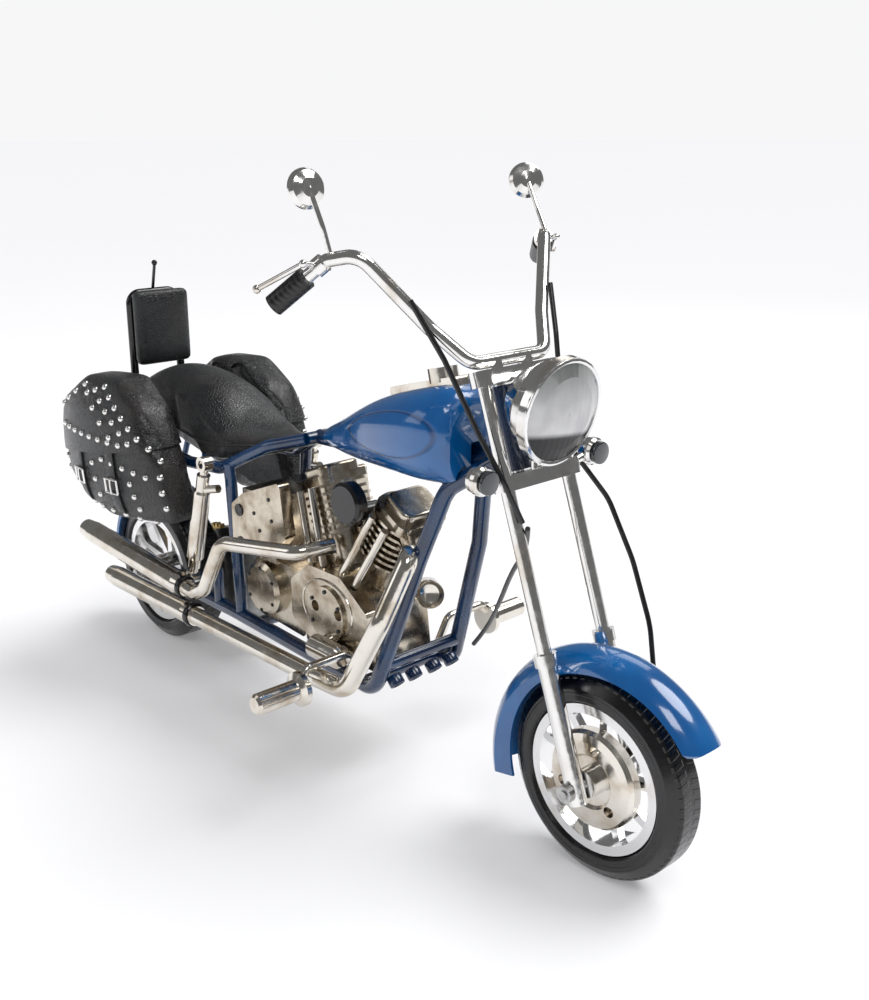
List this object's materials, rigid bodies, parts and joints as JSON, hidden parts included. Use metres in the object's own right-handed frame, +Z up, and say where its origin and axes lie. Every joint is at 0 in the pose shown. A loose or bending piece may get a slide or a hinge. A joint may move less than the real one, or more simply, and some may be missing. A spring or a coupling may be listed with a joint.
{
  "type": "tin wind-up toy motorcycle",
  "caption": "Long-fork chopper toy motorcycle in blue enamel and bright plate, with saddlebags, steering fork, rolling wheels and a keyed clockwork motor geared to the rear wheel.",
  "frame": {"origin": "on the ground under the middle of the bike: centre of the bounding box's bottom face, midway between the axles", "axes": "+X forward, +Y to the rider's left, +Z up"},
  "size_m": [0.3512, 0.1354, 0.2263],
  "materials": {
    "tyre_rubber": "matt black",
    "wheel_chrome": "bright plate",
    "bright_nickel": "warm bright nickel plate",
    "fork_chrome": "bright plate",
    "brass": "cut gear brass",
    "steel": "turned",
    "nickel_key": "nickel plated",
    "spring_steel": "blued",
    "tinplate": "tinplate",
    "blue_enamel": "gloss blue enamel",
    "frame_enamel": "gloss dark blue enamel",
    "engine_nickel": "warm nickel plated tinplate",
    "black_paint": "gloss black",
    "seat_leather": "soft black",
    "bag_leather": "black, studded",
    "grip_rubber": "black",
    "cable_black": "black",
    "lamp_glass": "clear"
  },
  "bodies": {
    "frame": {"exhaust_pipe_rear": "bright_nickel", "exhaust_pipe_front": "bright_nickel", "mufflers": "bright_nickel", "shock_absorbers": "bright_nickel", "pushrod_tubes": "bright_nickel", "oil_filter": "bright_nickel", "foot_pegs": "bright_nickel", "tank_console": "bright_nickel", "motor_pillars": "steel", "rear_axle": "steel", "mainspring": "spring_steel", "motor_inner_plate": "tinplate", "motor_outer_plate": "tinplate", "fuel_tank": "blue_enamel", "rear_fender": "blue_enamel", "frame_spine": "frame_enamel", "downtubes": "frame_enamel", "seat_rails": "frame_enamel", "lower_rails": "frame_enamel", "engine_crankcase": "engine_nickel", "front_cylinder": "engine_nickel", "rear_cylinder": "engine_nickel", "rocker_boxes": "engine_nickel", "cam_cover": "engine_nickel", "gearbox": "engine_nickel", "primary_cover": "engine_nickel", "battery_box": "engine_nickel", "air_cleaner": "black_paint", "sissy_bar": "black_paint", "seat": "seat_leather", "backrest_pad": "seat_leather", "saddlebag_right": "bag_leather", "saddlebag_left": "bag_leather", "brake_cable": "cable_black"},
    "steering": {"fork_sliders": "fork_chrome", "fork_stanchions": "fork_chrome", "lower_fork_clamp": "fork_chrome", "upper_fork_clamp": "fork_chrome", "handlebar": "fork_chrome", "grips": "grip_rubber", "levers": "fork_chrome", "mirrors": "fork_chrome", "headlight_bucket": "fork_chrome", "headlight_lens": "lamp_glass", "turn_signals": "fork_chrome", "front_axle": "steel", "front_fender": "blue_enamel", "control_cables": "cable_black"},
    "front_wheel": {"front_wheel_rim": "wheel_chrome", "front_tyre": "tyre_rubber", "front_hub_cover": "bright_nickel"},
    "rear_wheel": {"rear_wheel_rim": "wheel_chrome", "rear_tyre": "tyre_rubber", "rear_pinion": "brass"},
    "intermediate_gear": {"intermediate_gear": "brass"},
    "great_wheel": {"great_wheel": "brass"},
    "click": {"click": "steel"},
    "winding_key": {"winding_arbor": "steel", "winding_key": "nickel_key"},
    "side_stand": {"side_stand": "black_paint"}
  },
  "joints": [
    {"name": "steering_turn", "type": "hinge", "parent": "frame", "child": "steering", "pos_m": [0.08817, 0, 0.14578], "axis": [-0.3272, 0, 0.9449], "range_deg": [-30, 30], "deforming": ["brake_cable"]},
    {"name": "front_wheel_spin", "type": "hinge", "parent": "steering", "child": "front_wheel", "pos_m": [0.135, 0, 0.035], "axis": [0, 1, 0], "continuous": true},
    {"name": "rear_wheel_spin", "type": "hinge", "parent": "frame", "child": "rear_wheel", "pos_m": [-0.135, 0, 0.035], "axis": [0, 1, 0], "continuous": true},
    {"name": "intermediate_gear_spin", "type": "hinge", "parent": "frame", "child": "intermediate_gear", "pos_m": [-0.11503, 0.014, 0.04149], "axis": [0, 1, 0], "continuous": true},
    {"name": "great_wheel_spin", "type": "hinge", "parent": "frame", "child": "great_wheel", "pos_m": [-0.09116, 0.014, 0.03898], "axis": [0, 1, 0], "continuous": true},
    {"name": "click_lift", "type": "hinge", "parent": "great_wheel", "child": "click", "pos_m": [-0.10155, 0.021, 0.04498], "axis": [0, -1, 0], "range_deg": [0, 12]},
    {"name": "key_turn", "type": "hinge", "parent": "frame", "child": "winding_key", "pos_m": [-0.09116, 0.04, 0.03898], "axis": [0, 1, 0], "continuous": true},
    {"name": "side_stand_fold", "type": "hinge", "parent": "frame", "child": "side_stand", "pos_m": [-0.056, 0.0247, 0.0315], "axis": [0, 1, 0], "range_deg": [0, 85]}
  ],
  "couplings": [
    {"joint": "intermediate_gear_spin", "follows": "rear_wheel_spin", "ratio": -0.4},
    {"joint": "great_wheel_spin", "follows": "rear_wheel_spin", "ratio": 0.13333}
  ]
}
